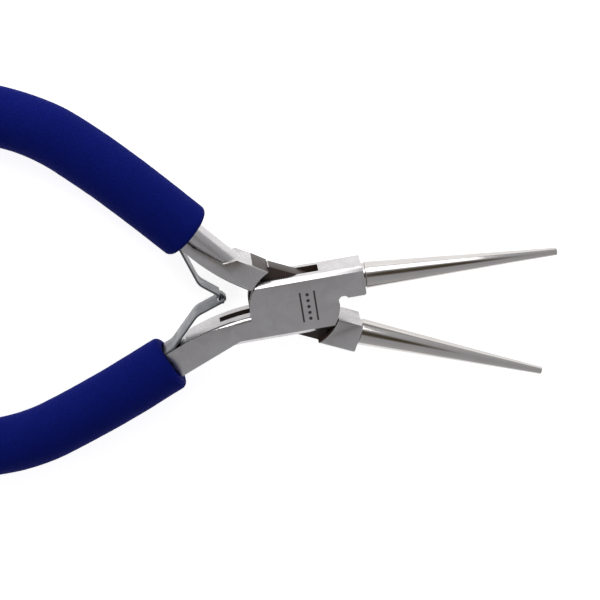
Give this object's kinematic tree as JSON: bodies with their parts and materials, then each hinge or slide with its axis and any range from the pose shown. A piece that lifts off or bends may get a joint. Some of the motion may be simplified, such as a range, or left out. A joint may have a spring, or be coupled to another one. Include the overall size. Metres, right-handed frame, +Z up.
{
  "type": "round nose pliers",
  "caption": "Box-jointed pliers with long tapering round noses, foam-covered handles and a pair of hooked leaf springs that hold them open.",
  "frame": {"origin": "on the pivot axis, in the flat under face of the box joint", "axes": "+X towards the noses along the line midway between them, +Z up through the joint out of its upper face, +Y across the handles"},
  "size_m": [0.1531, 0.1026, 0.014],
  "materials": {
    "forged_steel": "satin ground, with polished noses",
    "spring_steel": "blued grey rolled strip",
    "screw_steel": "turned",
    "foam": "matt closed-cell foam, royal blue"
  },
  "bodies": {
    "box_side": {"box_half": "forged_steel", "pivot_pin": "forged_steel", "spring_screw_lower": "screw_steel", "grip_lower": "foam"},
    "tongue_side": {"tongue_half": "forged_steel", "spring_screw_upper": "screw_steel", "grip_upper": "foam"},
    "lower_leaf": {"leaf_spring_lower": "spring_steel"},
    "upper_leaf": {"leaf_spring_upper": "spring_steel"}
  },
  "joints": [
    {"name": "jaw_pivot", "type": "hinge", "parent": "box_side", "child": "tongue_side", "pos_m": [0, 0, 0.0046], "axis": [0, 0, 1], "range_deg": [-4, 26.32], "stiffness_Nm_per_rad": 0.3},
    {"name": "lower_leaf_flex", "type": "hinge", "parent": "box_side", "child": "lower_leaf", "pos_m": [-0.03033, -0.01055, 0.0046], "axis": [0, 0, 1], "range_deg": [-14, 2.2], "deforming": ["leaf_spring_lower"]},
    {"name": "upper_leaf_flex", "type": "hinge", "parent": "tongue_side", "child": "upper_leaf", "pos_m": [-0.03033, 0.01055, 0.0046], "axis": [0, 0, 1], "range_deg": [-2.2, 14], "deforming": ["leaf_spring_upper"]}
  ],
  "couplings": [
    {"joint": "lower_leaf_flex", "follows": "jaw_pivot", "ratio": -0.52637},
    {"joint": "upper_leaf_flex", "follows": "jaw_pivot", "ratio": 0.52637}
  ]
}
